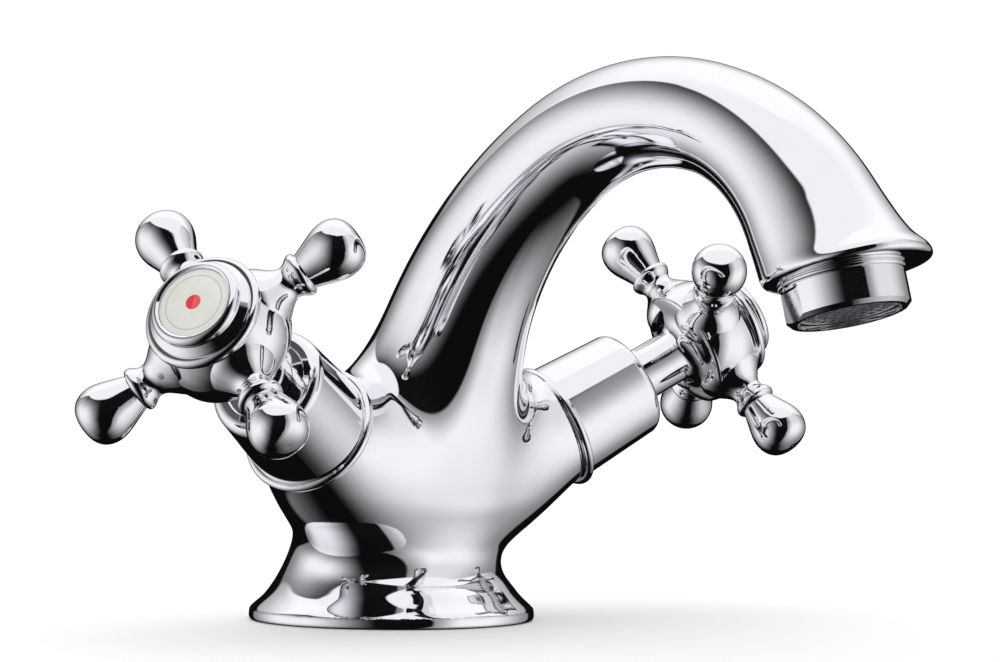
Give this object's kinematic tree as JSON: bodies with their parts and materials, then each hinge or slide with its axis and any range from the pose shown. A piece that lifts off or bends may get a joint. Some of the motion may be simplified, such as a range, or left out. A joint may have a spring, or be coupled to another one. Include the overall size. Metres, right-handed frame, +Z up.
{
  "type": "bathroom mixer faucet",
  "caption": "Deck-mounted basin mixer with a swan-neck spout on a flared round foot, two tilted valves with cross handles and an aerator.",
  "frame": {"origin": "centre of the round foot, on the face that stands on the basin deck", "axes": "+Z up out of the deck, -Y along the spout towards the user, +X towards the cold valve"},
  "size_m": [0.1827, 0.1715, 0.1164],
  "materials": {
    "chrome_body": "mirror-polished chromium on cast brass",
    "chrome_trim": "mirror-polished chromium on turned brass",
    "chrome_handle": "mirror-polished chromium on cast brass",
    "headwork_brass": "bright machined brass",
    "screw_steel": "plain stainless steel",
    "black_rubber": "matt moulded rubber",
    "flow_plastic": "moulded acetal flow former",
    "slip_plastic": "natural acetal",
    "valve_ceramic": "lapped alumina",
    "hot_index": "ivory enamel with a red dot",
    "cold_index": "ivory enamel with a blue dot"
  },
  "bodies": {
    "mixer_body": {"body_casting": "chrome_body", "base_gasket": "black_rubber", "aerator_housing": "chrome_trim", "aerator_insert": "flow_plastic", "aerator_gasket": "black_rubber", "hot_trim_ring": "chrome_trim", "hot_headwork_body": "headwork_brass", "hot_headwork_o_ring": "black_rubber", "hot_seat_seal": "black_rubber", "hot_fixed_ceramic_disc": "valve_ceramic", "hot_sleeve": "chrome_trim", "cold_trim_ring": "chrome_trim", "cold_headwork_body": "headwork_brass", "cold_headwork_o_ring": "black_rubber", "cold_seat_seal": "black_rubber", "cold_fixed_ceramic_disc": "valve_ceramic", "cold_sleeve": "chrome_trim", "hot_slip_washer": "slip_plastic", "cold_slip_washer": "slip_plastic"},
    "hot_handle": {"hot_cross_handle": "chrome_handle", "hot_handle_screw": "screw_steel", "hot_cap_ring": "chrome_handle", "hot_index_disc": "hot_index", "hot_moving_ceramic_disc": "valve_ceramic", "hot_spindle": "headwork_brass", "hot_spindle_o_rings": "black_rubber", "hot_spindle_clip": "screw_steel"},
    "cold_handle": {"cold_cross_handle": "chrome_handle", "cold_handle_screw": "screw_steel", "cold_cap_ring": "chrome_handle", "cold_index_disc": "cold_index", "cold_moving_ceramic_disc": "valve_ceramic", "cold_spindle": "headwork_brass", "cold_spindle_o_rings": "black_rubber", "cold_spindle_clip": "screw_steel"}
  },
  "joints": [
    {"name": "hot_handle_turn", "type": "hinge", "parent": "mixer_body", "child": "hot_handle", "pos_m": [0, 0, 0.0211], "axis": [-0.8281, -0.3063, 0.4695], "range_deg": [0, 90]},
    {"name": "cold_handle_turn", "type": "hinge", "parent": "mixer_body", "child": "cold_handle", "pos_m": [0, 0, 0.0211], "axis": [0.8281, -0.3063, 0.4695], "range_deg": [0, 90]}
  ]
}
